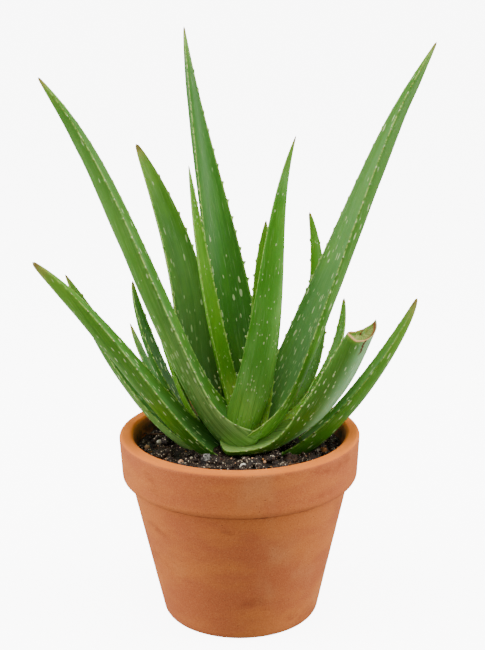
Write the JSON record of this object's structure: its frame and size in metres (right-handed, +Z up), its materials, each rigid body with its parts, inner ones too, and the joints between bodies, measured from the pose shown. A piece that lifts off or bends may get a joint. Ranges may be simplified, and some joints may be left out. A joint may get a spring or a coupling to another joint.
{
  "type": "potted aloe plant",
  "caption": "Upright rosette of long, thick, toothed aloe leaves growing from gritty potting mix in a tapered terracotta pot with a broad rim band and a drain hole.",
  "frame": {"origin": "centre of the pot's foot on the surface that the pot stands on, which is also the bottom centre of the whole plant's box", "axes": "+Z up along the pot's axis; +X to the right and +Y away from someone facing the front of the plant"},
  "size_m": [0.2444, 0.1546, 0.3763],
  "materials": {
    "terracotta": "matt unglazed terracotta with pale lime bloom, dark damp stains and small chips",
    "potting_mix": "dark, damp, crumbly potting mix",
    "stem_bark": "dull green-brown old leaf bases",
    "leaf_green": "waxy mid green with pale long spots, pale margin lines and dry brown tips",
    "perlite": "matt off-white expanded grains",
    "pebble": "matt pinkish grey grit",
    "bark": "fibrous tan and brown bark chips"
  },
  "bodies": {
    "root": {"pot": "terracotta", "soil": "potting_mix", "stem": "stem_bark", "leaf_centre_left": "leaf_green", "leaf_centre_small": "leaf_green", "leaf_front": "leaf_green", "leaf_tallest": "leaf_green", "leaf_broad_left": "leaf_green", "leaf_back_right": "leaf_green", "leaf_long_right": "leaf_green", "leaf_long_left": "leaf_green", "leaf_slip": "leaf_green", "leaf_back_left": "leaf_green", "leaf_back_short": "leaf_green", "leaf_cut": "leaf_green", "leaf_low_right": "leaf_green", "leaf_low_left": "leaf_green", "leaf_under_left": "leaf_green", "leaf_young": "leaf_green", "perlite_front": "perlite", "perlite_front_left": "perlite", "perlite_left": "perlite", "perlite_right": "perlite", "perlite_far_right": "perlite", "perlite_back": "perlite", "pebble_left": "pebble", "pebble_far_left": "pebble", "pebble_front": "pebble", "bark_front": "bark", "bark_clump": "bark", "bark_right": "bark", "bark_back": "bark"}
  },
  "joints": []
}
